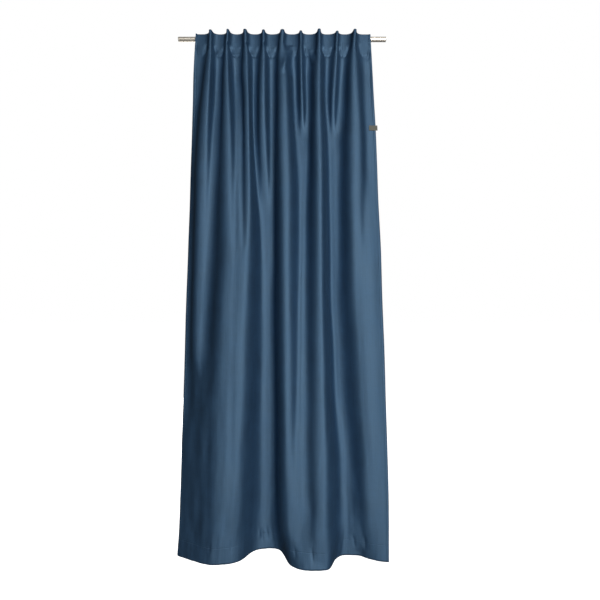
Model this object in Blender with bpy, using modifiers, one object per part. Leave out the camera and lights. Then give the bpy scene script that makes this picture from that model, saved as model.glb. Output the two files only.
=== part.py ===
"""One hidden-tab curtain hanging from a plain round rod.

The script's sizes are in millimetres and become metres as points are placed. +Z is up and the
cloth faces -Y. The origin is on the rod's axis, half way along it. In the fold tables, across is
along +X from the origin, forward is along -Y and down is measured from the curtain's top edge.
"""

import math
from bisect import bisect_right
from collections import namedtuple

import bpy
from mathutils import Vector

MM = 0.001

# Rod
ROD_DIAMETER = 22
ROD_LENGTH = 1000
ROD_SIDES = 48
ROD_EDGE = 1
ROD_EDGE_STEPS = 2
SHARP_ANGLE = math.radians(40)
QUARTER_TURN = math.radians(90)

# Cloth
CLOTH_THICKNESS = 2
TOP_ABOVE_ROD = 15
DROP = 2500
COLUMNS = 100
EVEN_BELOW = 420
STEPS_PER_FOLD = 14
ROWS_DOWN = (0, 30, 62, 95, 130, 160, 190, 235, 280, 330, 385, 440, 520, 610, 700, 800, 915, 1037,
             1275, 1512, 1750, 1987, 2225, 2300, 2370, 2435, DROP)

# Hidden tabs, sewn behind the ten flat valleys of the heading
GAP = 0.3
TAB_WIDTH = 30
TAB_THICKNESS = 1.2
TAB_UPPER_SEAM = (8, 12)
TAB_LOWER_SEAM = (-62, -80)
TAB_ARC_STEPS = 9

# Side label, a plain folded strip sewn at the right side seam
LABEL_DOWN = 439
LABEL_HEIGHT = 24
LABEL_ON_CLOTH = 37
LABEL_PAST_EDGE = 8
LABEL_THICKNESS = 0.8
LABEL_LIFT = 2.3

# Where the table's columns lie down the drop
LEVEL_NAMES = "top seam neck gather spread upper high breast middle thigh knee calf low turn hem"
Levels = namedtuple("Levels", LEVEL_NAMES)
DOWN = Levels(0, 95, 190, 330, 440, 610, 800, 1037, 1275, 1512, 1750, 1987, 2225, 2370, DROP)

# How far across each fold line is at each level, from the left edge to the right edge
ACROSS = {
    "left edge": Levels(-412, -419, -426, -431, -436, -445, -455, -465, -473, -479, -482, -487, -492,
                        -496, -504),
    "valley 0": Levels(-384, -393, -402, -413, -418, -429, -438, -448, -457, -459, -456, -457, -455,
                       -460, -470),
    "crest 1": Levels(-336, -337, -341, -351, -359, -370, -384, -394, -404, -406, -412, -412, -408, -402,
                      -410),
    "valley 1": Levels(-293, -300, -309, -313, -319, -324, -334, -348, -365, -377, -372, -360, -352,
                       -350, -360),
    "crest 2": Levels(-254, -259, -258, -255, -252, -246, -245, -242, -256, -264, -262, -272, -286, -301,
                      -318),
    "valley 2": Levels(-218, -219, -220, -213, -207, -204, -202, -207, -215, -227, -232, -232, -236,
                       -258, -268),
    "crest 3": Levels(-173, -168, -165, -158, -156, -155, -155, -170, -184, -195, -197, -200, -206, -222,
                      -226),
    "valley 3": Levels(-130, -132, -136, -139, -138, -129, -112, -95, -92, -92, -95, -96, -97, -98, -92),
    "crest 4": Levels(-86, -86, -88, -90, -90, -87, -80, -71, -70, -70, -70, -71, -72, -74, -56),
    "valley 4": Levels(-49, -47, -49, -48, -47, -47, -48, -48, -48, -46, -43, -42, -42, -42, -22),
    "crest 5": Levels(4, -4, 1, 7, 8, 10, 16, 17, 20, 22, 23, 27, 36, 43, 46),
    "valley 5": Levels(45, 55, 63, 67, 73, 81, 91, 90, 86, 83, 80, 70, 77, 82, 92),
    "crest 6": Levels(90, 90, 91, 95, 97, 98, 99, 98, 95, 93, 92, 90, 98, 100, 122),
    "valley 6": Levels(129, 124, 119, 122, 122, 117, 110, 107, 104, 103, 104, 101, 112, 124, 150),
    "crest 7": Levels(177, 176, 173, 171, 171, 175, 177, 178, 180, 184, 187, 190, 192, 190, 205),
    "valley 7": Levels(211, 217, 216, 216, 225, 232, 234, 239, 241, 255, 264, 284, 286, 292, 262),
    "crest 8": Levels(263, 258, 252, 244, 245, 250, 251, 256, 257, 269, 279, 299, 304, 306, 300),
    "valley 8": Levels(299, 293, 287, 279, 269, 269, 269, 272, 273, 286, 296, 318, 322, 332, 328),
    "crest 9": Levels(345, 337, 335, 338, 342, 344, 345, 349, 352, 366, 379, 399, 422, 440, 424),
    "valley 9": Levels(388, 402, 412, 417, 421, 422, 407, 405, 404, 415, 425, 444, 462, 472, 465),
    "right edge": Levels(423, 429, 434, 441, 447, 453, 457, 467, 473, 482, 489, 496, 502, 503, 503),
}

# How far forward of the rod's axis each fold line is
FORWARD = {
    "left edge": Levels(21, 17, 8, 0, -8, -20, -36, -40, -37, -34, -20, -10, -3, 2, 7),
    "valley 0": Levels(13.5, 13.5, 8, 2, 0, -4, -22, -30, -32, -26, -12, 10, 16, 20, 24),
    "crest 1": Levels(50, 52, 56, 58, 56, 50, 34, 21, 16, 21, 24, 33, 40, 46, 50),
    "valley 1": Levels(13.5, 13.5, 4, 6, 18, 30, 22, 14, 13, 21, 48, 63, 69, 70, 69),
    "crest 2": Levels(54, 56, 60, 66, 70, 75, 80, 82, 84, 82, 83, 85, 84, 81, 77),
    "valley 2": Levels(13.5, 13.5, 4, 12, 30, 52, 70, 78.5, 81.5, 80, 80.5, 81, 79, 76, 73),
    "crest 3": Levels(54, 56, 60, 64, 66, 70, 76, 78, 80, 78, 77, 74, 71, 68, 63),
    "valley 3": Levels(13.5, 13.5, 2, -2, -4, -6, -10, -16, -22, -28, -34, -40, -45, -47, -45),
    "crest 4": Levels(50, 52, 52, 48, 36, 12, -12, -18, -25, -31, -37, -43, -48, -50, -48),
    "valley 4": Levels(13.5, 13.5, 0, -6, -8, -10, -14, -18, -22, -28, -34, -39, -43, -43, -40),
    "crest 5": Levels(52, 52, 62, 72, 76, 84, 89, 93, 95, 98, 101, 98, 98, 96, 82),
    "valley 5": Levels(13.5, 13.5, 0, -2, 2, 14, 20, 35, 52, 66, 79, 91, 97, 100, 109),
    "crest 6": Levels(43, 44, 42, 36, 8, 12, 20, 35.5, 52.5, 66.5, 79.5, 90.5, 96.5, 102, 115),
    "valley 6": Levels(13.5, 13.5, 2, 2, 4, 12, 20, 35, 52, 66, 79, 90, 96, 106, 117),
    "crest 7": Levels(56, 58, 64, 72, 76, 84, 92, 96, 100, 104, 108, 116, 118, 117, 112),
    "valley 7": Levels(13.5, 13.5, 4, 0, -3, -5, -8, -10, -12, -13, -12, -7, 1, 10, 26),
    "crest 8": Levels(41, 40, 38, 32, 2, -3, -6, -8, -10, -11, -11, -8, -2, 7, 5),
    "valley 8": Levels(13.5, 13.5, 2, 0, -1, -1, -3, -5, -6, -7, -8, -5, 1, 12, 4),
    "crest 9": Levels(54, 56, 60, 62, 62, 63, 62, 59, 57, 56, 55, 55, 55, 50, 37),
    "valley 9": Levels(13.5, 13.5, 10, 14, 18, 24, 43, 57, 61, 62, 61, 60, 57, 53, 51),
    "right edge": Levels(16, 14, 14, 16, 18, 24, 35, 46, 50, 53, 54, 56, 57, 56, 57),
}

# How much of the way to the next fold line each line's round part takes
CREST_ROUND = Levels(0.34, 0.38, 0.50, 0.60, 0.64, 0.64, 0.62, 0.60, 0.60, 0.60, 0.60, 0.60, 0.60, 0.62, 0.70)
VALLEY_ROUND = Levels(1.14, 1.00, 0.56, 0.60, 0.58, 0.52, 0.49, 0.48, 0.48, 0.48, 0.48, 0.48, 0.50, 0.60,
                      0.72)
EDGE_ROUND = 0.40
BROAD_CRESTS = {"crest 3": 1.2, "crest 5": 1.22, "crest 6": 0.8, "crest 7": 1.05, "crest 8": 0.85}
SLOPE_ROUND = 0.38
SLOPE_WEIGHT = 4

# Sides that stand steeper than the rest, named by the fold line on their left
STEEP_SIDES = {
    "valley 4": Levels(1, 1, 1, 1.1, 1.1, 1.1, 1.1, 1.1, 1.1, 1.1, 1.1, 1.1, 1.1, 1, 1),
    "valley 6": Levels(1, 1, 1, 1, 1.1, 1.15, 1.2, 1.25, 1.3, 1.3, 1.3, 1.25, 1.2, 1.1, 1),
    "crest 7": Levels(1, 1, 1, 1, 1, 1, 1, 1, 1, 1, 1.05, 1.05, 1, 1, 0.8),
}

FOLD_NAMES = tuple(ACROSS)
TABBED_VALLEYS = tuple(name for name in FOLD_NAMES if name.startswith("valley"))


def part_material(name, colour, roughness, metallic=0.0):
    material = bpy.data.materials.new(name)
    material.use_nodes = True
    shader = material.node_tree.nodes["Principled BSDF"]
    shader.inputs["Base Color"].default_value = (*colour, 1)
    shader.inputs["Roughness"].default_value = roughness
    shader.inputs["Metallic"].default_value = metallic
    return material


def clear_scene():
    for thing in list(bpy.data.objects):
        bpy.data.objects.remove(thing, do_unlink=True)


def point(across, forward, down):
    """A point in metres from millimetres in the fold tables' terms."""
    return Vector((across * MM, -forward * MM, (TOP_ABOVE_ROD - down) * MM))


def slope_at(stations, values, index):
    """The slope of a smooth curve through the values, from the two spans beside a station."""
    if index == 0:
        return (values[1] - values[0]) / (stations[1] - stations[0])
    if index == len(stations) - 1:
        return (values[-1] - values[-2]) / (stations[-1] - stations[-2])
    before = stations[index] - stations[index - 1]
    after = stations[index + 1] - stations[index]
    slope_before = (values[index] - values[index - 1]) / before
    slope_after = (values[index + 1] - values[index]) / after
    return (slope_before * after + slope_after * before) / (before + after)


def at_depth(values, down):
    """One table row's value at any distance down, on a smooth curve through its levels."""
    index = min(max(bisect_right(DOWN, down) - 1, 0), len(DOWN) - 2)
    span = DOWN[index + 1] - DOWN[index]
    t = (down - DOWN[index]) / span
    rise = t * t * (3 - 2 * t)
    level = values[index] + (values[index + 1] - values[index]) * rise
    start = slope_at(DOWN, values, index) * span * t * (1 - t) ** 2
    end = slope_at(DOWN, values, index + 1) * span * t * t * (1 - t)
    return level + start - end


def tilt(before, here, after):
    """The slope of a section at a fold line: level on a crest or valley, smooth on a flank."""
    slope_before = (here[1] - before[1]) / (here[0] - before[0])
    slope_after = (after[1] - here[1]) / (after[0] - here[0])
    if slope_before * slope_after <= 0:
        return 0
    return 2 * slope_before * slope_after / (slope_before + slope_after)


def roundness(name, down):
    if name.startswith("crest"):
        return at_depth(CREST_ROUND, down) * BROAD_CRESTS.get(name, 1)
    if name.startswith("valley"):
        return at_depth(VALLEY_ROUND, down)
    return EDGE_ROUND


def fold_lines(down):
    """The fold lines' (across, forward) points and the slope of the section at each."""
    knots = [(at_depth(ACROSS[n], down), at_depth(FORWARD[n], down)) for n in FOLD_NAMES]
    tilts = [tilt(*knots[i - 1:i + 2]) for i in range(1, len(knots) - 1)]
    first = (knots[1][1] - knots[0][1]) / (knots[1][0] - knots[0][0])
    last = (knots[-1][1] - knots[-2][1]) / (knots[-1][0] - knots[-2][0])
    return knots, [first, *tilts, last]


def handle(name, slope, reach, down, steepness):
    """A Bezier handle's length across. Only a level fold line keeps its full round part."""
    full = roundness(name, down) * steepness
    return reach * (SLOPE_ROUND + (full - SLOPE_ROUND) / (1 + (SLOPE_WEIGHT * slope) ** 2))


def section(down):
    """The cloth's horizontal section at one height, as closely spaced (across, forward) points."""
    knots, tilts = fold_lines(down)
    points = [knots[0]]
    for i in range(len(knots) - 1):
        (x0, y0), (x3, y3) = knots[i], knots[i + 1]
        steepness = 1
        if FOLD_NAMES[i] in STEEP_SIDES:
            steepness = at_depth(STEEP_SIDES[FOLD_NAMES[i]], down)
        out = handle(FOLD_NAMES[i], tilts[i], x3 - x0, down, steepness)
        back = handle(FOLD_NAMES[i + 1], tilts[i + 1], x3 - x0, down, steepness)
        x1, y1 = x0 + out, y0 + out * tilts[i]
        x2, y2 = x3 - back, y3 - back * tilts[i + 1]
        for step in range(1, STEPS_PER_FOLD + 1):
            t = step / STEPS_PER_FOLD
            a, b, c, d = (1 - t) ** 3, 3 * t * (1 - t) ** 2, 3 * t * t * (1 - t), t ** 3
            points.append((a * x0 + b * x1 + c * x2 + d * x3, a * y0 + b * y1 + c * y2 + d * y3))
    return points


def lengths_along(points):
    """The distance along the section from its left edge to each of its points."""
    lengths = [0.0]
    for before, after in zip(points, points[1:]):
        lengths.append(lengths[-1] + math.dist(before, after))
    return lengths


def columns_at(down):
    """The cloth's columns at one height: on the fold lines in the heading, evenly spaced below."""
    points = section(down)
    lengths = lengths_along(points)
    on_folds = max(0, 1 - down / EVEN_BELOW)
    result = []
    for i in range(COLUMNS + 1):
        fold, step = divmod(i * (len(FOLD_NAMES) - 1), COLUMNS)
        before = lengths[fold * STEPS_PER_FOLD]
        after = lengths[min(fold + 1, len(FOLD_NAMES) - 1) * STEPS_PER_FOLD]
        tied = before + (after - before) * step / COLUMNS
        wanted = tied * on_folds + lengths[-1] * i / COLUMNS * (1 - on_folds)
        j = min(bisect_right(lengths, wanted), len(lengths) - 1)
        t = (wanted - lengths[j - 1]) / (lengths[j] - lengths[j - 1])
        x = points[j - 1][0] + t * (points[j][0] - points[j - 1][0])
        y = points[j - 1][1] + t * (points[j][1] - points[j - 1][1])
        result.append((x, y))
    return result


def sheet_from_rows(name, rows, thickness, material):
    """A grid shaped to rows of points, from top to bottom, and thickened about its middle."""
    columns = len(rows[0])
    bpy.ops.mesh.primitive_grid_add(x_subdivisions=columns - 1, y_subdivisions=len(rows) - 1, size=2)
    sheet = bpy.context.object
    sheet.name = name
    for vertex in sheet.data.vertices:
        column = round((vertex.co.x + 1) / 2 * (columns - 1))
        row = round((1 - vertex.co.y) / 2 * (len(rows) - 1))
        vertex.co = rows[row][column]
    sheet.data.materials.append(material)
    sheet.data.shade_smooth()
    solid = sheet.modifiers.new("Thickness", "SOLIDIFY")
    solid.thickness = thickness * MM
    solid.offset = 0
    solid.use_even_offset = True
    return sheet


def make_panel(material):
    rows = []
    for down in ROWS_DOWN:
        rows.append([point(x, y, down) for x, y in columns_at(down)])
    return sheet_from_rows("curtain_panel", rows, CLOTH_THICKNESS, material)


def make_rod(material):
    bpy.ops.mesh.primitive_cylinder_add(
        vertices=ROD_SIDES,
        radius=ROD_DIAMETER / 2 * MM,
        depth=ROD_LENGTH * MM,
        rotation=(0, QUARTER_TURN, 0),
    )
    rod = bpy.context.object
    rod.name = "rod"
    rod.data.materials.append(material)
    rod.data.shade_smooth()
    rod.data.set_sharp_from_angle(angle=SHARP_ANGLE)
    edge = rod.modifiers.new("End edges", "BEVEL")
    edge.width = ROD_EDGE * MM
    edge.segments = ROD_EDGE_STEPS
    edge.limit_method = "ANGLE"
    edge.angle_limit = SHARP_ANGLE
    return rod


def tangent_angle(y, z, radius, side):
    """The angle at which a line from a point outside a circle about the rod's axis touches it."""
    return math.atan2(z, y) + side * math.acos(radius / math.hypot(y, z))


def tab_path():
    """A tab's (forward, up) path: a seam on the cloth, over and round the rod, and a lower seam."""
    radius = ROD_DIAMETER / 2 + GAP + TAB_THICKNESS / 2
    cloth_back = FORWARD["valley 1"].top - CLOTH_THICKNESS / 2
    seam = cloth_back - GAP - TAB_THICKNESS / 2
    start = tangent_angle(seam, TAB_UPPER_SEAM[1], radius, 1)
    end = tangent_angle(seam, TAB_LOWER_SEAM[0], radius, -1) + 2 * math.pi
    path = [(seam, TAB_UPPER_SEAM[0]), (seam, TAB_UPPER_SEAM[1])]
    for i in range(TAB_ARC_STEPS):
        angle = start + (end - start) * i / (TAB_ARC_STEPS - 1)
        path.append((radius * math.cos(angle), radius * math.sin(angle)))
    path += [(seam, TAB_LOWER_SEAM[0]), (seam, TAB_LOWER_SEAM[1])]
    return path


def make_tab(number, across, material):
    rows = []
    for forward, up in tab_path():
        sides = (across - TAB_WIDTH / 2, across + TAB_WIDTH / 2)
        rows.append([point(x, forward, TOP_ABOVE_ROD - up) for x in sides])
    return sheet_from_rows(f"tab_{number:02d}", rows, TAB_THICKNESS, material)


def make_label(material):
    """The label lies flat in front of the cloth beside its right edge and runs a little past it."""
    rows = []
    for down in (LABEL_DOWN, LABEL_DOWN + LABEL_HEIGHT):
        points = section(down)
        lengths = lengths_along(points)
        inner = next(p for p, along in zip(points, lengths) if along >= lengths[-1] - LABEL_ON_CLOTH)
        edge = points[-1]
        reach = math.dist(inner, edge)
        ahead = ((edge[0] - inner[0]) / reach, (edge[1] - inner[1]) / reach)
        row = []
        for run in (0, reach + LABEL_PAST_EDGE):
            x = inner[0] + ahead[0] * run - ahead[1] * LABEL_LIFT
            y = inner[1] + ahead[1] * run + ahead[0] * LABEL_LIFT
            row.append(point(x, y, down))
        rows.append(row)
    return sheet_from_rows("side_label", rows, LABEL_THICKNESS, material)


def build():
    clear_scene()
    cloth = part_material("blue_curtain_cloth", (0.06, 0.11, 0.17), 0.55)
    steel = part_material("satin_steel", (0.55, 0.53, 0.5), 0.3, metallic=1)
    webbing = part_material("blue_tab_webbing", (0.05, 0.09, 0.14), 0.8)
    woven = part_material("olive_woven_label", (0.12, 0.11, 0.08), 0.8)
    pieces = [make_panel(cloth), make_rod(steel)]
    for number, name in enumerate(TABBED_VALLEYS, start=1):
        pieces.append(make_tab(number, ACROSS[name].top, webbing))
    pieces.append(make_label(woven))
    collection = bpy.data.collections.new("curtain_on_rod")
    bpy.context.scene.collection.children.link(collection)
    for piece in pieces:
        for old in list(piece.users_collection):
            old.objects.unlink(piece)
        collection.objects.link(piece)


build()
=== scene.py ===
"""One hidden-tab curtain hanging from a plain round rod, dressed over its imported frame.

Sizes in the tables are in millimetres and become metres as points are placed. +Z is up and the
cloth faces -Y. The origin is on the rod's axis, half way along it. In the tables, across is along
+X from the origin, forward is along -Y and down is measured from the curtain's top edge.
"""

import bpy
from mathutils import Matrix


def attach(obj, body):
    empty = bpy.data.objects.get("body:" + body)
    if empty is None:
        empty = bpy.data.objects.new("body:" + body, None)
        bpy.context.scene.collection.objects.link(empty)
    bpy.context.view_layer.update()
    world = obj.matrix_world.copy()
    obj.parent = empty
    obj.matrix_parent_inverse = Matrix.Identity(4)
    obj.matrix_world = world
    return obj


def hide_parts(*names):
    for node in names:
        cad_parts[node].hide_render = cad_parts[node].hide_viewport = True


bl_info = {
    "name": "Curtain on Rod",
    "version": (1, 0, 0),
    "blender": (4, 5, 0),
    "location": "View3D > Sidebar > Curtain",
    "description": "Makes a gathered hidden-tab curtain, its tabs, side label and rod finish",
    "category": "Add Mesh",
}

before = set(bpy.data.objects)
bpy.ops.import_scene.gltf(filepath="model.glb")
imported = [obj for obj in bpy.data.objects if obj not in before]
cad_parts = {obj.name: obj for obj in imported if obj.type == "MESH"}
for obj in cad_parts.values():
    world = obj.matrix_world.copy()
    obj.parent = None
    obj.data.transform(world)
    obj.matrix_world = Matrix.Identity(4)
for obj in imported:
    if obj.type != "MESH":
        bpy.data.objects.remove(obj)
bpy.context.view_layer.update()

import math
from bisect import bisect_right
from collections import namedtuple

import bpy
from bpy.props import FloatProperty, PointerProperty, StringProperty
from bpy.types import Operator, Panel, PropertyGroup
from mathutils import Matrix, Quaternion, Vector, noise

MM = 0.001

# Cloth, which is thicker where it is turned, and how far in its turns and their stitches reach
TOP_ABOVE_ROD = 15
DROP = 2500
FLAT_WIDTH = 1300
CLOTH_THICKNESS = 2
SINGLE_THICKNESS = 1.2
HEADING_TURN = 104
HEM_TURN = 82
HEM_STITCH = 78
SIDE_TURN = 14
SIDE_STITCH = 12

# The cloth's mesh. Its columns keep to the folds at the top and are evenly spaced further down
COLUMNS = 320
STEPS_PER_FOLD = 24
EVEN_BELOW = 420

# Unevenness of hanging cloth: noise steps for each millimetre across and down, and height
WAVE_ACROSS = 0.012
WAVE_DOWN = 0.004
WAVE_HEIGHT = 1.2
CRUMPLE_ACROSS = 0.036
CRUMPLE_DOWN = 0.011
CRUMPLE_HEIGHT = 1.6
CRUMPLE_LOSS = 0.7

# Rows of the cloth, from one distance down to another, close together where it turns
RowSpan = namedtuple("RowSpan", "start end count")
ROW_SPANS = (
    RowSpan(0, HEADING_TURN - 2, 34),
    RowSpan(HEADING_TURN - 2, HEADING_TURN + 2, 2),
    RowSpan(HEADING_TURN + 2, 200, 24),
    RowSpan(200, 600, 22),
    RowSpan(600, 1500, 20),
    RowSpan(1500, 2300, 26),
    RowSpan(2300, DROP - HEM_TURN - 2, 12),
    RowSpan(DROP - HEM_TURN - 2, DROP - HEM_STITCH + 3, 5),
    RowSpan(DROP - HEM_STITCH + 3, DROP, 9),
)

# Hidden tabs, sewn behind the ten flat valleys of the heading, and the rod through them
ROD_RADIUS = 11
GAP = 0.3
TAB_WIDTH = 30
TAB_THICKNESS = 1.2
TAB_UPPER_SEAM = (8, 12)
TAB_LOWER_SEAM = (-62, -80)
TAB_ARC_STEPS = 28
TAB_COLUMNS = 8
TAB_STITCH = 3
TAB_MARGIN = 5
TAB_BOX = 14
TAB_RIB_PITCH = 1.6

# Side label, a plain folded ribbon sewn at the right side seam
LABEL_DOWN = 439
LABEL_HEIGHT = 24
LABEL_ON_CLOTH = 37
LABEL_PAST_EDGE = 8
LABEL_THICKNESS = 0.35
LABEL_FOLD = 0.35
LABEL_LIFT = 2.3
LABEL_STITCH = 3
LABEL_RIB_PITCH = 1.1
LABEL_ROWS = 10
LABEL_COLUMNS = 16
LABEL_FOLD_STEPS = 6

# Threads and stitches. Real threads are 0.3 mm apart, too fine to show, so they are drawn coarser
WARP_PITCH = 1.2
WEFT_PITCH = 1.6
STITCH_WIDTH = 0.9
STITCH_SPACING = 4
STITCH_LENGTH = 3
SEAM_DIP_WIDTH = 4

# Sizes of the patterns' marks, across and up or along
SLUB_SIZE = (4, 140)
PICK_SIZE = (70, 3)
MOTTLE_SIZE = 110
RUBBED_SIZE = 26
FUZZ_SIZE = 1.4
BRUSH_SIZE = (200, 1)
HAZE_SIZE = 45

# Studio, in metres, degrees and watts, with the camera's lens and sensor in millimetres
Light = namedtuple("Light", "name place size roll power")
FRONT_LIGHT = Light("front_softbox", (1.05, -3.3, -1.25), (0.9, 7.0), -8, 155)
SMALL_LIGHTS = (
    Light("rod_softbox", (-1.4, -3.3, 0.4), (0.5, 0.8), 0, 10),
    Light("back_softbox", (-1.2, 3.2, -0.9), (2.0, 3.0), 0, 70),
)
LIGHTS_AIM = (0, 0, -1.35)
FILL_COLOUR = (0.9, 0.95, 1, 1)
FILL_STRENGTH = 0.04
FLOOR_HEIGHT = -2.53
FLOOR_SIZE = 40
CAMERA_PLACE = (0.086, -1.93, -1.257)
CAMERA_LENS = 24
CAMERA_SENSOR = 36

# Where the fold tables' columns lie down the drop
LEVEL_NAMES = "top seam neck gather spread upper high breast middle thigh knee calf low turn hem"
Levels = namedtuple("Levels", LEVEL_NAMES)
DOWN = Levels(0, 95, 190, 330, 440, 610, 800, 1037, 1275, 1512, 1750, 1987, 2225, 2370, DROP)

# How far across each fold line is at each level, from the left edge to the right edge
ACROSS = {
    "left edge": Levels(-412, -419, -426, -431, -436, -445, -455, -465, -473, -479, -482, -487, -492,
                        -496, -504),
    "valley 0": Levels(-384, -393, -402, -413, -418, -429, -438, -448, -457, -459, -456, -457, -455,
                       -460, -470),
    "crest 1": Levels(-336, -337, -341, -351, -359, -370, -384, -394, -404, -406, -412, -412, -408, -402,
                      -410),
    "valley 1": Levels(-293, -300, -309, -313, -319, -324, -334, -348, -365, -377, -372, -360, -352,
                       -350, -360),
    "crest 2": Levels(-254, -259, -258, -255, -252, -246, -245, -242, -256, -264, -262, -272, -286, -301,
                      -318),
    "valley 2": Levels(-218, -219, -220, -213, -207, -204, -202, -207, -215, -227, -232, -232, -236,
                       -258, -268),
    "crest 3": Levels(-173, -168, -165, -158, -156, -155, -155, -170, -184, -195, -197, -200, -206, -222,
                      -226),
    "valley 3": Levels(-130, -132, -136, -139, -138, -129, -112, -95, -92, -92, -95, -96, -97, -98, -92),
    "crest 4": Levels(-86, -86, -88, -90, -90, -87, -80, -71, -70, -70, -70, -71, -72, -74, -56),
    "valley 4": Levels(-49, -47, -49, -48, -47, -47, -48, -48, -48, -46, -43, -42, -42, -42, -22),
    "crest 5": Levels(4, -4, 1, 7, 8, 10, 16, 17, 20, 22, 23, 27, 36, 43, 46),
    "valley 5": Levels(45, 55, 63, 67, 73, 81, 91, 90, 86, 83, 80, 70, 77, 82, 92),
    "crest 6": Levels(90, 90, 91, 95, 97, 98, 99, 98, 95, 93, 92, 90, 98, 100, 122),
    "valley 6": Levels(129, 124, 119, 122, 122, 117, 110, 107, 104, 103, 104, 101, 112, 124, 150),
    "crest 7": Levels(177, 176, 173, 171, 171, 175, 177, 178, 180, 184, 187, 190, 192, 190, 205),
    "valley 7": Levels(211, 217, 216, 216, 225, 232, 234, 239, 241, 255, 264, 284, 286, 292, 262),
    "crest 8": Levels(263, 258, 252, 244, 245, 250, 251, 256, 257, 269, 279, 299, 304, 306, 300),
    "valley 8": Levels(299, 293, 287, 279, 269, 269, 269, 272, 273, 286, 296, 318, 322, 332, 328),
    "crest 9": Levels(345, 337, 335, 338, 342, 344, 345, 349, 352, 366, 379, 399, 422, 440, 424),
    "valley 9": Levels(388, 402, 412, 417, 421, 422, 407, 405, 404, 415, 425, 444, 462, 472, 465),
    "right edge": Levels(423, 429, 434, 441, 447, 453, 457, 467, 473, 482, 489, 496, 502, 503, 503),
}

# How far forward of the rod's axis each fold line is
FORWARD = {
    "left edge": Levels(21, 17, 8, 0, -8, -20, -36, -40, -37, -34, -20, -10, -3, 2, 7),
    "valley 0": Levels(13.5, 13.5, 8, 2, 0, -4, -22, -30, -32, -26, -12, 10, 16, 20, 24),
    "crest 1": Levels(50, 52, 56, 58, 56, 50, 34, 21, 16, 21, 24, 33, 40, 46, 50),
    "valley 1": Levels(13.5, 13.5, 4, 6, 18, 30, 22, 14, 13, 21, 48, 63, 69, 70, 69),
    "crest 2": Levels(54, 56, 60, 66, 70, 75, 80, 82, 84, 82, 83, 85, 84, 81, 77),
    "valley 2": Levels(13.5, 13.5, 4, 12, 30, 52, 70, 78.5, 81.5, 80, 80.5, 81, 79, 76, 73),
    "crest 3": Levels(54, 56, 60, 64, 66, 70, 76, 78, 80, 78, 77, 74, 71, 68, 63),
    "valley 3": Levels(13.5, 13.5, 2, -2, -4, -6, -10, -16, -22, -28, -34, -40, -45, -47, -45),
    "crest 4": Levels(50, 52, 52, 48, 36, 12, -12, -18, -25, -31, -37, -43, -48, -50, -48),
    "valley 4": Levels(13.5, 13.5, 0, -6, -8, -10, -14, -18, -22, -28, -34, -39, -43, -43, -40),
    "crest 5": Levels(52, 52, 62, 72, 76, 84, 89, 93, 95, 98, 101, 98, 98, 96, 82),
    "valley 5": Levels(13.5, 13.5, 0, -2, 2, 14, 20, 35, 52, 66, 79, 91, 97, 100, 109),
    "crest 6": Levels(43, 44, 42, 36, 8, 12, 20, 35.5, 52.5, 66.5, 79.5, 90.5, 96.5, 102, 115),
    "valley 6": Levels(13.5, 13.5, 2, 2, 4, 12, 20, 35, 52, 66, 79, 90, 96, 106, 117),
    "crest 7": Levels(56, 58, 64, 72, 76, 84, 92, 96, 100, 104, 108, 116, 118, 117, 112),
    "valley 7": Levels(13.5, 13.5, 4, 0, -3, -5, -8, -10, -12, -13, -12, -7, 1, 10, 26),
    "crest 8": Levels(41, 40, 38, 32, 2, -3, -6, -8, -10, -11, -11, -8, -2, 7, 5),
    "valley 8": Levels(13.5, 13.5, 2, 0, -1, -1, -3, -5, -6, -7, -8, -5, 1, 12, 4),
    "crest 9": Levels(54, 56, 60, 62, 62, 63, 62, 59, 57, 56, 55, 55, 55, 50, 37),
    "valley 9": Levels(13.5, 13.5, 10, 14, 18, 24, 43, 57, 61, 62, 61, 60, 57, 53, 51),
    "right edge": Levels(16, 14, 14, 16, 18, 24, 35, 46, 50, 53, 54, 56, 57, 56, 57),
}

# How much of the way to the next fold line each line's round part takes. Where a line lies on a
# slope this nears SLOPE_ROUND, and it is half way there at LEVEL_SLOPE
CREST_ROUND = Levels(0.34, 0.40, 0.56, 0.66, 0.69, 0.67, 0.63, 0.60, 0.60, 0.60, 0.60, 0.60, 0.60, 0.62,
                     0.70)
VALLEY_ROUND = Levels(0.68, 0.68, 0.68, 0.70, 0.66, 0.58, 0.50, 0.48, 0.48, 0.48, 0.48, 0.48, 0.50, 0.60,
                      0.72)
EDGE_ROUND = 0.40
SLOPE_ROUND = 0.38
LEVEL_SLOPE = 0.25

# Crests that are broader or narrower than the rest
BROAD_CRESTS = {"crest 3": 1.2, "crest 5": 1.22, "crest 6": 0.8, "crest 7": 1.05, "crest 8": 0.85}

# The heading's flat panels: their round part, and where their feet start and how far they fade
PANEL_ROUND = 1.14
PANEL_FOOT = 78
PANEL_FADE = 40
FORKED = "valley 5"
FORK_FOOT = 48

# Valleys that are wider or narrower than the rest under their panels, less so further down
PANEL_TAILS = {"valley 1": 1.3, "valley 2": 1.3, "valley 4": 1.15, "valley 5": 0.8, "valley 6": 0.85,
               "valley 7": 0.85}
TAIL_END = 700

# Sides that stand steeper or less steep than the rest, named by the fold line on their left
STEEP_SIDES = {
    "valley 4": Levels(1, 1, 1, 1.1, 1.1, 1.1, 1.1, 1.1, 1.1, 1.1, 1.1, 1.1, 1.1, 1, 1),
    "crest 5": Levels(1, 1, 1, 1, 1, 0.95, 0.9, 0.85, 0.8, 0.8, 0.8, 0.8, 0.85, 0.9, 1),
    "crest 7": Levels(1, 1, 1, 1, 1, 1, 1, 1, 1, 1, 1.05, 1.05, 1, 1, 0.8),
}

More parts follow.
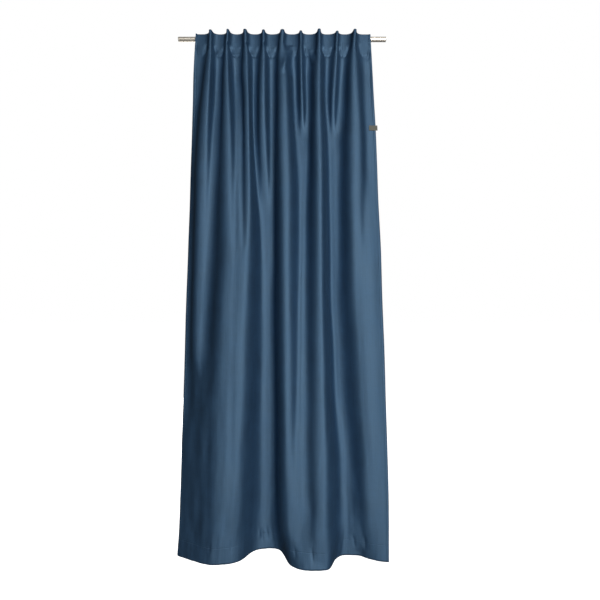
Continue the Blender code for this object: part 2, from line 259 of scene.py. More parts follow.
# Soft troughs and ridges pressed into the folds, where height is forward of the cloth
Crease = namedtuple("Crease", "from_across from_down to_across to_down width height")
CREASE_END_POWER = 0.7
CREASES = (
    # The heading's flat panels pucker where the tabs' lower seams hold them
    Crease(-412, 40, -398, 100, 7, -3),
    Crease(-358, 44, -372, 108, 8, -6),
    Crease(-326, 56, -303, 112, 6, -7),
    Crease(-276, 62, -296, 116, 6, -5),
    Crease(-254, 56, -226, 110, 7, -8),
    Crease(-196, 60, -214, 114, 6, -5),
    Crease(-164, 56, -138, 112, 7, -8),
    Crease(-108, 60, -127, 114, 6, -4),
    Crease(-84, 52, -56, 118, 7, -7),
    Crease(-22, 58, -42, 116, 6, -5),
    Crease(78, 58, 62, 112, 6, -5),
    Crease(102, 56, 120, 112, 6, -6),
    Crease(132, 70, 150, 160, 7, 5),
    Crease(152, 76, 162, 150, 5, -4),
    Crease(186, 56, 210, 114, 6, -7),
    Crease(242, 60, 222, 112, 6, -5),
    Crease(268, 58, 288, 114, 6, -6),
    Crease(322, 56, 301, 116, 6, -5),
    Crease(364, 46, 388, 118, 7, -5),
    Crease(422, 60, 408, 130, 8, -3),
    # Long shallow troughs and a narrow ridge down the sides of the folds
    Crease(-190, 200, -178, 1030, 12, -8),
    Crease(-236, 420, -214, 1040, 16, -4),
    Crease(377, 730, 396, 1070, 18, -3),
    Crease(214, 980, 224, 1940, 4, 4),
    # Soft crumples low on the left
    Crease(-402, 1560, -380, 1900, 20, -3),
    Crease(-420, 1500, -384, 1680, 15, 2),
    Crease(-330, 1440, -300, 1560, 15, 2),
    Crease(-312, 1530, -352, 1700, 17, -3),
    Crease(-352, 1690, -372, 1960, 20, 2.5),
    Crease(-404, 1800, -420, 2060, 20, -3),
    Crease(-340, 1880, -366, 2180, 20, -3),
    Crease(-424, 2040, -408, 2330, 20, 2.5),
    Crease(-376, 2120, -400, 2380, 18, -3),
    Crease(-448, 2250, -410, 2440, 17, -2),
    Crease(-356, 2290, -380, 2430, 15, 2),
    # Crumples low on the right
    Crease(344, 2060, 376, 2320, 16, -3),
    Crease(362, 2180, 350, 2290, 12, 2),
    Crease(368, 2300, 398, 2470, 14, -3),
    Crease(250, 2260, 284, 2460, 14, -3),
    # The hem's stitching draws the cloth up here and there
    Crease(-237, 2392, -232, 2446, 5, -2),
    Crease(-103, 2396, -98, 2460, 5, -3),
    Crease(-80, 2388, -72, 2456, 5, -2.5),
    Crease(-113, 2400, -116, 2450, 5, 2),
    Crease(262, 2392, 270, 2456, 5, -3),
    Crease(338, 2396, 350, 2456, 6, -3),
    Crease(392, 2390, 396, 2460, 6, -3),
    Crease(60, 2400, 66, 2460, 6, -2.5),
    Crease(140, 2404, 146, 2470, 6, -2.5),
    Crease(-330, 2394, -336, 2450, 6, -2.5),
)

# Ledges that stand straight forward: the cloth forks under the sixth panel
LEDGES = (
    Crease(44, 54, 10, 200, 14, 12),
)

FOLD_NAMES = tuple(ACROSS)
TABBED_VALLEYS = tuple(name for name in FOLD_NAMES if name.startswith("valley"))
PANEL_FORWARD = FORWARD["valley 1"].top


def linear(colour):
    """An sRGB hex colour as linear red, green, blue and full alpha."""
    channels = [int(colour[i:i + 2], 16) / 255 for i in (1, 3, 5)]
    return [c / 12.92 if c <= 0.04045 else ((c + 0.055) / 1.055) ** 2.4 for c in channels] + [1.0]


def deselect():
    """Leaves nothing selected, so that an operator works on its own object alone."""
    bpy.ops.object.select_all(action="DESELECT")


def point(across, forward, down):
    """A point in metres from millimetres in the tables' terms."""
    return Vector((across * MM, -forward * MM, (TOP_ABOVE_ROD - down) * MM))


def slope_at(stations, values, index):
    """The slope of a smooth curve through the values, from the two spans beside a station."""
    if index == 0:
        return (values[1] - values[0]) / (stations[1] - stations[0])
    if index == len(stations) - 1:
        return (values[-1] - values[-2]) / (stations[-1] - stations[-2])
    before = stations[index] - stations[index - 1]
    after = stations[index + 1] - stations[index]
    slope_before = (values[index] - values[index - 1]) / before
    slope_after = (values[index + 1] - values[index]) / after
    return (slope_before * after + slope_after * before) / (before + after)


def at_depth(values, down):
    """One table row's value at any distance down, on a smooth curve through its levels."""
    index = min(max(bisect_right(DOWN, down) - 1, 0), len(DOWN) - 2)
    span = DOWN[index + 1] - DOWN[index]
    t = (down - DOWN[index]) / span
    rise = t * t * (3 - 2 * t)
    level = values[index] + (values[index + 1] - values[index]) * rise
    start = slope_at(DOWN, values, index) * span * t * (1 - t) ** 2
    end = slope_at(DOWN, values, index + 1) * span * t * t * (1 - t)
    return level + start - end


def tilt(before, here, after):
    """The slope of a section at a fold line: level on a crest or valley, smooth on a flank."""
    slope_before = (here[1] - before[1]) / (here[0] - before[0])
    slope_after = (after[1] - here[1]) / (after[0] - here[0])
    if slope_before * slope_after <= 0:
        return 0
    return 2 * slope_before * slope_after / (slope_before + slope_after)


def fold_lines(down):
    """The fold lines' (across, forward) points and the slope of the section at each."""
    knots = [(at_depth(ACROSS[n], down), at_depth(FORWARD[n], down)) for n in FOLD_NAMES]
    tilts = [tilt(*knots[i - 1:i + 2]) for i in range(1, len(knots) - 1)]
    first = (knots[1][1] - knots[0][1]) / (knots[1][0] - knots[0][0])
    last = (knots[-1][1] - knots[-2][1]) / (knots[-1][0] - knots[-2][0])
    return knots, [first, *tilts, last]


def valley_round(name, down):
    """A valley's round part: wide in the heading's flat panels, which end in a round foot."""
    foot = FORK_FOOT if name == FORKED else PANEL_FOOT
    t = min(max((down - foot) / PANEL_FADE, 0), 1)
    panel = 1 - t * t * (3 - 2 * t)
    tail = 1 + (PANEL_TAILS.get(name, 1) - 1) * max(0, 1 - down / TAIL_END)
    return PANEL_ROUND * panel + at_depth(VALLEY_ROUND, down) * tail * (1 - panel)


def handle(name, slope, reach, down, steepness):
    """A Bezier handle's length across. Only a level fold line keeps its full round part."""
    full = EDGE_ROUND
    if name.startswith("crest"):
        full = at_depth(CREST_ROUND, down) * BROAD_CRESTS.get(name, 1)
    if name.startswith("valley"):
        full = valley_round(name, down)
    full *= steepness
    return reach * (SLOPE_ROUND + (full - SLOPE_ROUND) / (1 + (slope / LEVEL_SLOPE) ** 2))


def section(down):
    """The cloth's horizontal section at one height, as closely spaced (across, forward) points."""
    knots, tilts = fold_lines(down)
    points = [knots[0]]
    for i in range(len(knots) - 1):
        (x0, y0), (x3, y3) = knots[i], knots[i + 1]
        steepness = 1
        if FOLD_NAMES[i] in STEEP_SIDES:
            steepness = at_depth(STEEP_SIDES[FOLD_NAMES[i]], down)
        out = handle(FOLD_NAMES[i], tilts[i], x3 - x0, down, steepness)
        back = handle(FOLD_NAMES[i + 1], tilts[i + 1], x3 - x0, down, steepness)
        x1, y1 = x0 + out, y0 + out * tilts[i]
        x2, y2 = x3 - back, y3 - back * tilts[i + 1]
        for step in range(1, STEPS_PER_FOLD + 1):
            t = step / STEPS_PER_FOLD
            a, b, c, d = (1 - t) ** 3, 3 * t * (1 - t) ** 2, 3 * t * t * (1 - t), t ** 3
            points.append((a * x0 + b * x1 + c * x2 + d * x3, a * y0 + b * y1 + c * y2 + d * y3))
    return points


def lengths_along(points):
    """The distance along a path from its first point to each of its points."""
    lengths = [0.0]
    for before, after in zip(points, points[1:]):
        lengths.append(lengths[-1] + math.dist(before, after))
    return lengths


def crease_height(creases, across, down):
    """How far forward some creases push the cloth at one place."""
    height = 0.0
    for crease in creases:
        t = (down - crease.from_down) / (crease.to_down - crease.from_down)
        if 0 < t < 1:
            middle = crease.from_across + (crease.to_across - crease.from_across) * t
            fade = (1 - (2 * t - 1) ** 2) ** CREASE_END_POWER
            height += crease.height * fade * math.exp(-((across - middle) / crease.width) ** 2)
    return height


def cloth_row(down):
    """One row of the cloth: (across, forward, share of the width along the cloth) by column."""
    points = section(down)
    lengths = lengths_along(points)
    on_folds = max(0, 1 - down / EVEN_BELOW)
    row = []
    for i in range(COLUMNS + 1):
        fold, step = divmod(i * (len(FOLD_NAMES) - 1), COLUMNS)
        before = lengths[fold * STEPS_PER_FOLD]
        after = lengths[min(fold + 1, len(FOLD_NAMES) - 1) * STEPS_PER_FOLD]
        tied = before + (after - before) * step / COLUMNS
        wanted = tied * on_folds + lengths[-1] * i / COLUMNS * (1 - on_folds)
        j = min(bisect_right(lengths, wanted), len(lengths) - 1)
        t = (wanted - lengths[j - 1]) / (lengths[j] - lengths[j - 1])
        x = points[j - 1][0] + t * (points[j][0] - points[j - 1][0])
        y = points[j - 1][1] + t * (points[j][1] - points[j - 1][1])
        row.append((x, y, wanted / lengths[-1]))
    return row


def tab_limit(across, down):
    """The least that the cloth stands forward, so that it stays in front of the tabs behind it."""
    beside = min(abs(across - ACROSS[name].top) for name in TABBED_VALLEYS) - TAB_WIDTH / 2 - TAB_MARGIN
    below = down - (TOP_ABOVE_ROD - TAB_LOWER_SEAM[1]) - TAB_MARGIN
    return PANEL_FORWARD - max(beside, below, 0)


def creased(row, down):
    """The row with its creases, each point moved square to the cloth but kept before the tabs."""
    moved = []
    for i, (x, y, share) in enumerate(row):
        left, right = row[max(i - 1, 0)], row[min(i + 1, len(row) - 1)]
        run = math.dist(left[:2], right[:2])
        height = crease_height(CREASES, x, down) + soft_wave(share * FLAT_WIDTH, down)
        ledge = crease_height(LEDGES, x, down)
        across = x - (right[1] - left[1]) / run * height
        forward = y + (right[0] - left[0]) / run * height + ledge
        moved.append((across, max(forward, tab_limit(across, down)), share))
    return moved


def soft_wave(along, down):
    """The slight unevenness of hanging cloth, with finer crumples towards its lower left."""
    wave = noise.noise(Vector((along * WAVE_ACROSS, down * WAVE_DOWN, 0)))
    crumple = noise.noise(Vector((along * CRUMPLE_ACROSS, down * CRUMPLE_DOWN, 1)))
    share = (down / DROP) ** 2 * (1 - CRUMPLE_LOSS * along / FLAT_WIDTH)
    return WAVE_HEIGHT * wave + CRUMPLE_HEIGHT * crumple * share


def row_depths():
    """How far down each row of the cloth lies."""
    downs = [0.0]
    for span in ROW_SPANS:
        reach = span.end - span.start
        downs += [span.start + reach * k / span.count for k in range(1, span.count + 1)]
    return downs


def grid_from_rows(name, rows, uv_rows, uv_name):
    """A grid primitive shaped to rows of points, from top to bottom, with its own UV map in metres."""
    deselect()
    columns = len(rows[0])
    bpy.ops.mesh.primitive_grid_add(x_subdivisions=columns - 1, y_subdivisions=len(rows) - 1, size=2)
    sheet = bpy.context.object
    sheet.name = name
    places = {}
    for vertex in sheet.data.vertices:
        column = round((vertex.co.x + 1) / 2 * (columns - 1))
        row = round((1 - vertex.co.y) / 2 * (len(rows) - 1))
        vertex.co = rows[row][column]
        places[vertex.index] = (row, column)
    layer = sheet.data.uv_layers[0]
    layer.name = uv_name
    for loop in sheet.data.loops:
        row, column = places[loop.vertex_index]
        layer.data[loop.index].uv = uv_rows[row][column]
    sheet.data.shade_smooth()
    return sheet, places


def thicken(sheet, thickness, group=None, single=1.0):
    """Gives the active sheet its thickness, down to the single share where its group has none."""
    solid = sheet.modifiers.new("Thickness", "SOLIDIFY")
    solid.thickness = thickness * MM
    solid.offset = 0
    solid.use_even_offset = True
    if group:
        solid.vertex_group = group
        solid.thickness_vertex_group = single
    bpy.ops.object.modifier_apply(modifier="Thickness")


def add_node(tree, kind, settings, links):
    """Adds a node, sets its fields and its inputs by name or number, and links its inputs.

    A colour mix takes its factor at input 0 and its colours at 6 and 7, and gives output 2.
    """
    node = tree.nodes.new(kind)
    for name, value in settings.items():
        if isinstance(name, str) and hasattr(node, name):
            setattr(node, name, value)
        else:
            node.inputs[name].default_value = value
    for name, source in links.items():
        tree.links.new(source, node.inputs[name])
    return node


def new_material(name):
    """A new material, its node tree and its main shader."""
    material = bpy.data.materials.new(name)
    material.use_nodes = True
    tree = material.node_tree
    return material, tree, tree.nodes["Principled BSDF"]


def wave_scale(pitch):
    """The scale at which a Wave Texture's bands lie this many millimetres apart."""
    return math.pi / 10 / (pitch * MM)


def marks_scale(*sizes):
    """The mapping scale at which noise makes marks of these sizes in millimetres."""
    scale = [1 / (size * MM) for size in sizes]
    return scale + [1.0] * (3 - len(scale))


def stitch_line(tree, across, along, place):
    """1 on the thread of a seam at one place across, in dashes along it."""
    near = {"operation": "COMPARE", 1: place * MM, 2: STITCH_WIDTH * MM / 2}
    line = add_node(tree, "ShaderNodeMath", near, {0: across})
    count = add_node(tree, "ShaderNodeMath", {"operation": "DIVIDE", 1: STITCH_SPACING * MM}, {0: along})
    step = add_node(tree, "ShaderNodeMath", {"operation": "FRACT"}, {0: count.outputs[0]})
    dash = add_node(tree, "ShaderNodeMath", {"operation": "LESS_THAN", 1: STITCH_LENGTH / STITCH_SPACING},
                    {0: step.outputs[0]})
    return add_node(tree, "ShaderNodeMath", {"operation": "MULTIPLY"},
                    {0: line.outputs[0], 1: dash.outputs[0]}).outputs[0]


def seam_dip(tree, across, place):
    """1 in the middle of the soft dip that a seam draws in the cloth, and 0 beside it."""
    offset = add_node(tree, "ShaderNodeMath", {"operation": "SUBTRACT", 1: place * MM}, {0: across})
    away = add_node(tree, "ShaderNodeMath", {"operation": "ABSOLUTE"}, {0: offset.outputs[0]})
    dip = {"interpolation_type": "SMOOTHSTEP", "From Max": SEAM_DIP_WIDTH * MM, "To Min": 1.0, "To Max": 0.0}
    return add_node(tree, "ShaderNodeMapRange", dip, {"Value": away.outputs[0]}).outputs[0]


def largest(tree, sources):
    """The largest of several patterns at each point."""
    result = sources[0]
    for source in sources[1:]:
        result = add_node(tree, "ShaderNodeMath", {"operation": "MAXIMUM"}, {0: result, 1: source}).outputs[0]
    return result


def summed(tree, parts):
    """The sum of several (pattern, weight) pairs at each point."""
    total = None
    for pattern, weight in parts:
        links = {0: pattern}
        if total:
            links[2] = total
        settings = {"operation": "MULTIPLY_ADD", 1: weight, 2: 0.0}
        total = add_node(tree, "ShaderNodeMath", settings, links).outputs[0]
    return total


def satin_cloth(settings):
    """Polyester satin, woven with long smooth warp floats and dyed in the piece.

    The floats give a broad bluish gloss that fades fast as a fold turns away, over a dark base.
    """
    material, tree, shader = new_material("woven_polyester_satin")
    uv = add_node(tree, "ShaderNodeUVMap", {"uv_map": "cloth"}, {}).outputs["UV"]
    across, up, _ = add_node(tree, "ShaderNodeSeparateXYZ", {}, {"Vector": uv}).outputs
    warp = add_node(tree, "ShaderNodeTexWave", {"bands_direction": "X", "Scale": wave_scale(WARP_PITCH),
                    "Distortion": 0.6, "Detail": 1.0}, {"Vector": uv}).outputs["Fac"]
    weft = add_node(tree, "ShaderNodeTexWave", {"bands_direction": "Y", "Scale": wave_scale(WEFT_PITCH),
                    "Distortion": 0.6, "Detail": 1.0}, {"Vector": uv}).outputs["Fac"]
    # Slubs run along the warp threads and thicker picks along the weft
    slub_place = add_node(tree, "ShaderNodeMapping", {"Scale": marks_scale(*SLUB_SIZE)}, {"Vector": uv})
    slubs = add_node(tree, "ShaderNodeTexNoise", {"Scale": 1.0, "Detail": 4.0},
                     {"Vector": slub_place.outputs[0]}).outputs["Fac"]
    pick_place = add_node(tree, "ShaderNodeMapping", {"Scale": marks_scale(*PICK_SIZE)}, {"Vector": uv})
    picks = add_node(tree, "ShaderNodeTexNoise", {"Scale": 1.0, "Detail": 3.0},
                     {"Vector": pick_place.outputs[0]}).outputs["Fac"]
    # Handling leaves soft marks, some wide and some small
    mottle = add_node(tree, "ShaderNodeTexNoise", {"Scale": 1 / (MOTTLE_SIZE * MM), "Detail": 4.0},
                      {"Vector": uv}).outputs["Fac"]
    rubbed = add_node(tree, "ShaderNodeTexNoise", {"Scale": 1 / (RUBBED_SIZE * MM), "Detail": 4.0},
                      {"Vector": uv}).outputs["Fac"]
    tone = summed(tree, ((slubs, 0.35), (picks, 0.2), (mottle, 0.25), (rubbed, 0.1), (warp, 0.06),
                         (weft, 0.04)))
    spread = add_node(tree, "ShaderNodeMapRange", {"From Min": 0.4, "From Max": 0.6}, {"Value": tone})
    dyed = add_node(tree, "ShaderNodeMix", {"data_type": "RGBA", 6: linear(settings.cloth_dark),
                    7: linear(settings.cloth_light)}, {0: spread.outputs[0]})
    right_seam = FLAT_WIDTH - SIDE_STITCH
    thread = largest(tree, (stitch_line(tree, up, across, HEM_STITCH),
                            stitch_line(tree, across, up, SIDE_STITCH),
                            stitch_line(tree, across, up, right_seam)))
    sewn = add_node(tree, "ShaderNodeMix", {"data_type": "RGBA", 7: linear(settings.thread)},
                    {0: thread, 6: dyed.outputs[2]})
    tree.links.new(sewn.outputs[2], shader.inputs["Base Color"])
    dips = largest(tree, (seam_dip(tree, up, HEM_STITCH), seam_dip(tree, across, SIDE_STITCH),
                          seam_dip(tree, across, right_seam)))
    height = summed(tree, ((warp, 0.06), (weft, 0.04), (slubs, 0.3), (picks, 0.15), (rubbed, 0.45),
                           (dips, -0.7), (thread, 0.25)))
    bump = add_node(tree, "ShaderNodeBump", {"Strength": 1.0, "Distance": MM}, {"Height": height})
    tree.links.new(bump.outputs[0], shader.inputs["Normal"])
    rough = add_node(tree, "ShaderNodeMapRange", {"To Min": 0.52, "To Max": 0.62}, {"Value": mottle})
    tree.links.new(rough.outputs[0], shader.inputs["Roughness"])
    # Smooth floats shine more than a plain weave does, so the gloss is stronger than plain cloth's
    shader.inputs["IOR"].default_value = 1.9
    shader.inputs["Specular IOR Level"].default_value = 1.0
    shader.inputs["Specular Tint"].default_value = linear(settings.cloth_glow)
    return material


def satin_steel(settings):
    """Steel tube, nickel-plated, satin-brushed along its length and lacquered.

    It is pale and warm, with a soft bright line along it and fine lines that break the line up.
    """
    material, tree, shader = new_material("satin_nickel_plated_steel")
    place = add_node(tree, "ShaderNodeTexCoord", {}, {}).outputs["Object"]
    # Brush lines are 0.1 mm apart, too fine to show, so they are drawn 1 mm apart
    length, pitch = BRUSH_SIZE
    along = add_node(tree, "ShaderNodeMapping", {"Scale": marks_scale(length, pitch, pitch)},
                     {"Vector": place})
    brushed = add_node(tree, "ShaderNodeTexNoise", {"Scale": 1.0, "Detail": 5.0},
                       {"Vector": along.outputs[0]}).outputs["Fac"]
    hazy = add_node(tree, "ShaderNodeTexNoise", {"Scale": 1 / (HAZE_SIZE * MM), "Detail": 3.0},
                    {"Vector": place}).outputs["Fac"]
    tone = summed(tree, ((brushed, 0.7), (hazy, 0.3)))
    spread = add_node(tree, "ShaderNodeMapRange", {"From Min": 0.3, "From Max": 0.7}, {"Value": tone})
    plated = add_node(tree, "ShaderNodeMix", {"data_type": "RGBA", 6: linear(settings.rod_dark),
                      7: linear(settings.rod_light)}, {0: spread.outputs[0]})
    tree.links.new(plated.outputs[2], shader.inputs["Base Color"])
    rough = add_node(tree, "ShaderNodeMapRange", {"To Min": 0.3, "To Max": 0.42}, {"Value": brushed})
    tree.links.new(rough.outputs[0], shader.inputs["Roughness"])
    bump = add_node(tree, "ShaderNodeBump", {"Strength": 0.35, "Distance": 0.02 * MM}, {"Height": brushed})
    tree.links.new(bump.outputs[0], shader.inputs["Normal"])
    # The lacquer scatters some light over the plating, so the rod is not all metal
    shader.inputs["Metallic"].default_value = 0.6
    return material


def woven_tape(name, light, dark, rib_pitch, seams):
    """Polyester tape in a plain weave, matt, with fine ribs both ways and its seams' stitches.

    The real ribs are finer, too fine to show, so they are drawn coarser.
    """
    material, tree, shader = new_material(name)
    uv = add_node(tree, "ShaderNodeUVMap", {"uv_map": "tape"}, {}).outputs["UV"]
    across, along, _ = add_node(tree, "ShaderNodeSeparateXYZ", {}, {"Vector": uv}).outputs
    ribs = add_node(tree, "ShaderNodeTexWave", {"bands_direction": "Y", "Scale": wave_scale(rib_pitch),
                    "Distortion": 0.5}, {"Vector": uv}).outputs["Fac"]
    warps = add_node(tree, "ShaderNodeTexWave", {"bands_direction": "X", "Scale": wave_scale(rib_pitch),
                     "Distortion": 0.5}, {"Vector": uv}).outputs["Fac"]
    # Loose fibres blur the ribs
    fuzz = add_node(tree, "ShaderNodeTexNoise", {"Scale": 1 / (FUZZ_SIZE * MM), "Detail": 3.0},
                    {"Vector": uv}).outputs["Fac"]
    tone = summed(tree, ((ribs, 0.3), (warps, 0.3), (fuzz, 0.4)))
    woven = add_node(tree, "ShaderNodeMix", {"data_type": "RGBA", 6: linear(dark), 7: linear(light)},
                     {0: tone})
    thread = largest(tree, [stitch_line(tree, along, across, seam) for seam in seams])
    sewn = add_node(tree, "ShaderNodeMix", {"data_type": "RGBA", 7: linear(light)},
                    {0: thread, 6: woven.outputs[2]})
    tree.links.new(sewn.outputs[2], shader.inputs["Base Color"])
    height = summed(tree, ((ribs, 0.3), (warps, 0.2), (fuzz, 0.3), (thread, 0.6)))
    bump = add_node(tree, "ShaderNodeBump", {"Strength": 0.7, "Distance": 0.4 * MM}, {"Height": height})
    tree.links.new(bump.outputs[0], shader.inputs["Normal"])
    shader.inputs["Roughness"].default_value = 0.8
    return material


class CurtainSettings(PropertyGroup):
    """The colours, the cloth's thickness and the front light, as the panel shows them"""

    cloth_light: StringProperty(name="Cloth, light", default="#213b56",
                                description="Colour of the cloth's raised threads")
    cloth_dark: StringProperty(name="Cloth, dark", default="#192d43",
                               description="Colour between the cloth's threads")
    cloth_glow: StringProperty(name="Cloth glow", default="#92badb",
                               description="Colour of the satin's gloss")
    tab_light: StringProperty(name="Tabs, light", default="#3f5d7a",
                              description="Colour of the webbing's ribs")
    tab_dark: StringProperty(name="Tabs, dark", default="#233a52",
                             description="Colour between the webbing's ribs")
    label_light: StringProperty(name="Label, light", default="#77776b",
                                description="Colour of the label's ribs")
    label_dark: StringProperty(name="Label, dark", default="#504f47",
                               description="Colour between the label's ribs")
    thread: StringProperty(name="Thread", default="#1b2f45",
                           description="Colour of the sewing thread in the hems")
    rod_light: StringProperty(name="Rod, light", default="#f4ecde",
                              description="Light colour of the brushed rod")
    rod_dark: StringProperty(name="Rod, dark", default="#e6dccb",
                             description="Dark colour of the brushed rod")
    hem_thickness: FloatProperty(name="Hem thickness", default=CLOTH_THICKNESS * MM, min=MM, max=3 * MM,
                                 unit="LENGTH", description="Thickness of the cloth where it is turned")
    key_power: FloatProperty(name="Front light", default=FRONT_LIGHT.power, min=0, unit="POWER",
                             description="Power of the light beside the camera")


class CURTAIN_OT_cloth(Operator):
    """Make the curtain's cloth in its hanging folds, with its heading and hems"""

    bl_idname = "curtain.cloth"
    bl_label = "Curtain cloth"

    def execute(self, context):
        settings = context.scene.curtain
        downs = row_depths()
        rows = [creased(cloth_row(down), down) for down in downs]
        points = [[point(x, y, down) for x, y, share in row] for row, down in zip(rows, downs)]
        places = [[(share * FLAT_WIDTH * MM, (DROP - down) * MM) for x, y, share in row]
                  for row, down in zip(rows, downs)]
        sheet, spots = grid_from_rows("curtain_cloth", points, places, "cloth")
        turned = sheet.vertex_groups.new(name="turned cloth")
        for index, (row, column) in spots.items():
            along = rows[row][column][2] * FLAT_WIDTH
            side = min(along, FLAT_WIDTH - along) < SIDE_TURN
            layered = side or downs[row] < HEADING_TURN or downs[row] > DROP - HEM_TURN
            turned.add([index], 1.0 if layered else 0.0, "REPLACE")
        thickness = settings.hem_thickness / MM
        thicken(sheet, thickness, "turned cloth", SINGLE_THICKNESS / thickness)
        sheet.data.materials.append(satin_cloth(settings))
        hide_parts("curtain_panel")
        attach(sheet, "root")
        return {"FINISHED"}


def tangent_angle(y, z, radius, side):
    """The angle at which a line from a point outside a circle about the rod's axis touches it."""
    return math.atan2(z, y) + side * math.acos(radius / math.hypot(y, z))


def tab_path():
    """A tab's (forward, up) path: a seam on the cloth, over and round the rod, and a lower seam."""
    radius = ROD_RADIUS + GAP + TAB_THICKNESS / 2
    cloth_back = PANEL_FORWARD - CLOTH_THICKNESS / 2
    seam = cloth_back - GAP - TAB_THICKNESS / 2
    start = tangent_angle(seam, TAB_UPPER_SEAM[1], radius, 1)
    end = tangent_angle(seam, TAB_LOWER_SEAM[0], radius, -1) + 2 * math.pi
    path = [(seam, TAB_UPPER_SEAM[0]), (seam, TAB_UPPER_SEAM[1])]
    for i in range(TAB_ARC_STEPS + 1):
        angle = start + (end - start) * i / TAB_ARC_STEPS
        path.append((radius * math.cos(angle), radius * math.sin(angle)))
    path += [(seam, TAB_LOWER_SEAM[0]), (seam, TAB_LOWER_SEAM[1])]
    return path


class CURTAIN_OT_tabs(Operator):
    """Make one hidden tab and copy it to the ten valleys that it carries on the rod"""

    bl_idname = "curtain.tabs"
    bl_label = "Hidden tabs"

    def execute(self, context):
        settings = context.scene.curtain
        path = tab_path()
        lengths = lengths_along(path)
        sides = [TAB_WIDTH * (k / TAB_COLUMNS - 0.5) for k in range(TAB_COLUMNS + 1)]
        rows = [[point(side, forward, TOP_ABOVE_ROD - up) for side in sides] for forward, up in path]
        places = [[(side * MM, along * MM) for side in sides] for along in lengths]
        tab, _ = grid_from_rows("woven_tab", rows, places, "tape")
        thicken(tab, TAB_THICKNESS)
        seams = (TAB_STITCH, lengths[-1] - TAB_STITCH, lengths[-1] - TAB_BOX)
        tab.data.materials.append(woven_tape("woven_polyester_webbing", settings.tab_light, settings.tab_dark,
                                             TAB_RIB_PITCH, seams))
        for number, name in enumerate(TABBED_VALLEYS, start=1):
            copy = tab.copy()
            copy.data = tab.data.copy()
            copy.name = f"woven_tab_{number:02d}"
            copy.data.transform(Matrix.Translation((ACROSS[name].top * MM, 0, 0)))
            context.collection.objects.link(copy)
            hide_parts(f"tab_{number:02d}")
            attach(copy, "root")
        bpy.data.objects.remove(tab)
        return {"FINISHED"}


def label_profile(bend):
    """The folded ribbon's (run, lift) points: out to its bend, round it and back."""
    out = [(bend * k / LABEL_COLUMNS, LABEL_FOLD) for k in range(LABEL_COLUMNS + 1)]
    turn = []
    for k in range(1, LABEL_FOLD_STEPS):
        angle = math.pi / 2 - math.pi * k / LABEL_FOLD_STEPS
        turn.append((bend + LABEL_FOLD * math.cos(angle), LABEL_FOLD * math.sin(angle)))
    back = [(bend * (1 - k / LABEL_COLUMNS), -LABEL_FOLD) for k in range(LABEL_COLUMNS + 1)]
    return out + turn + back


class CURTAIN_OT_label(Operator):
    """Make the plain folded label at the right side seam"""

    bl_idname = "curtain.label"
    bl_label = "Side label"

    def execute(self, context):
        rows, places = [], []
        for k in range(LABEL_ROWS + 1):
            down = LABEL_DOWN + LABEL_HEIGHT * k / LABEL_ROWS
            points = section(down)
            lengths = lengths_along(points)
            inner = next(p for p, along in zip(points, lengths) if along >= lengths[-1] - LABEL_ON_CLOTH)
            edge = points[-1]
            reach = math.dist(inner, edge)
            ahead = ((edge[0] - inner[0]) / reach, (edge[1] - inner[1]) / reach)
            profile = label_profile(reach + LABEL_PAST_EDGE - LABEL_FOLD)
            walk = lengths_along(profile)
            row = []
            for run, lift in profile:
                height = lift + LABEL_LIFT
                x = inner[0] + ahead[0] * run - ahead[1] * height
                y = inner[1] + ahead[1] * run + ahead[0] * height
                row.append(point(x, y, down))
            rows.append(row)
            places.append([((down - LABEL_DOWN) * MM, walked * MM) for walked in walk])
        ribbon, _ = grid_from_rows("label_ribbon", rows, places, "tape")
        thicken(ribbon, LABEL_THICKNESS)
        settings = context.scene.curtain
        ribbon.data.materials.append(woven_tape("woven_taffeta_ribbon", settings.label_light,
                                                settings.label_dark, LABEL_RIB_PITCH, (LABEL_STITCH,)))
        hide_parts("side_label")
        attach(ribbon, "root")
        return {"FINISHED"}


class CURTAIN_OT_rod(Operator):
    """Finish the rod in brushed nickel-plated steel"""

    bl_idname = "curtain.rod"
    bl_label = "Rod finish"

    def execute(self, context):
        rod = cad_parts["rod"]
        rod.data.materials.clear()
        rod.data.materials.append(satin_steel(context.scene.curtain))
        return {"FINISHED"}


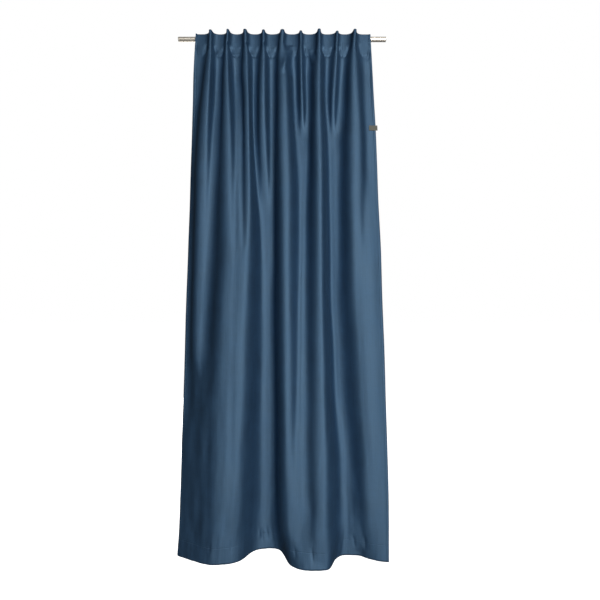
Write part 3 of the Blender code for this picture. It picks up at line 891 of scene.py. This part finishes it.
class CURTAIN_OT_studio(Operator):
    """Set the floor, lights, background and camera"""

    bl_idname = "curtain.studio"
    bl_label = "Studio"

    def execute(self, context):
        scene = context.scene
        settings = scene.curtain
        deselect()
        bpy.ops.mesh.primitive_plane_add(size=FLOOR_SIZE, location=(0, 0, FLOOR_HEIGHT))
        floor = context.object
        floor.name = "studio_floor"
        material, tree, shader = new_material("white_studio_floor")
        shader.inputs["Base Color"].default_value = linear("#ffffff")
        shader.inputs["Emission Color"].default_value = linear("#ffffff")
        shader.inputs["Emission Strength"].default_value = 1.0
        floor.data.materials.append(material)
        floor.visible_diffuse = False
        floor.visible_glossy = False
        floor.visible_shadow = False
        for light in (FRONT_LIGHT._replace(power=settings.key_power), *SMALL_LIGHTS):
            data = bpy.data.lights.new(light.name, "AREA")
            data.shape = "RECTANGLE"
            data.size, data.size_y = light.size
            data.energy = light.power
            lamp = bpy.data.objects.new(light.name, data)
            lamp.location = light.place
            aim = (Vector(LIGHTS_AIM) - Vector(light.place)).to_track_quat("-Z", "Y")
            lamp.rotation_euler = (aim @ Quaternion((0, 0, 1), math.radians(light.roll))).to_euler()
            scene.collection.objects.link(lamp)
        world = bpy.data.worlds.new("studio_white")
        world.use_nodes = True
        tree = world.node_tree
        ray = add_node(tree, "ShaderNodeLightPath", {}, {})
        seen = add_node(tree, "ShaderNodeBackground", {"Color": (1, 1, 1, 1), "Strength": 1.0}, {})
        fill = add_node(tree, "ShaderNodeBackground", {"Color": FILL_COLOUR, "Strength": FILL_STRENGTH}, {})
        mixed = add_node(tree, "ShaderNodeMixShader", {},
                         {0: ray.outputs["Is Camera Ray"], 1: fill.outputs[0], 2: seen.outputs[0]})
        tree.links.new(mixed.outputs[0], tree.nodes["World Output"].inputs["Surface"])
        scene.world = world
        scene.view_settings.view_transform = "Standard"
        lens = bpy.data.cameras.new("photo_view")
        lens.lens = CAMERA_LENS
        lens.sensor_width = CAMERA_SENSOR
        camera = bpy.data.objects.new("photo_view", lens)
        camera.location = CAMERA_PLACE
        camera.rotation_euler = (math.radians(90), 0, 0)
        scene.collection.objects.link(camera)
        scene.camera = camera
        return {"FINISHED"}


class VIEW3D_PT_curtain(Panel):
    """The sidebar panel with each setting and a button for each operator"""

    bl_label = "Curtain on Rod"
    bl_space_type = "VIEW_3D"
    bl_region_type = "UI"
    bl_category = "Curtain"

    def draw(self, context):
        for setting in CurtainSettings.__annotations__:
            self.layout.prop(context.scene.curtain, setting)
        for operator in OPERATORS:
            self.layout.operator(operator.bl_idname)


OPERATORS = (CURTAIN_OT_cloth, CURTAIN_OT_tabs, CURTAIN_OT_label, CURTAIN_OT_rod, CURTAIN_OT_studio)
CLASSES = (CurtainSettings, *OPERATORS, VIEW3D_PT_curtain)


def register():
    for cls in CLASSES:
        bpy.utils.register_class(cls)
    bpy.types.Scene.curtain = PointerProperty(type=CurtainSettings)


def unregister():
    del bpy.types.Scene.curtain
    for cls in reversed(CLASSES):
        bpy.utils.unregister_class(cls)


def main():
    register()
    bpy.ops.curtain.cloth()
    bpy.ops.curtain.tabs()
    bpy.ops.curtain.label()
    bpy.ops.curtain.rod()
    bpy.ops.curtain.studio()


if __name__ == "__main__":
    main()
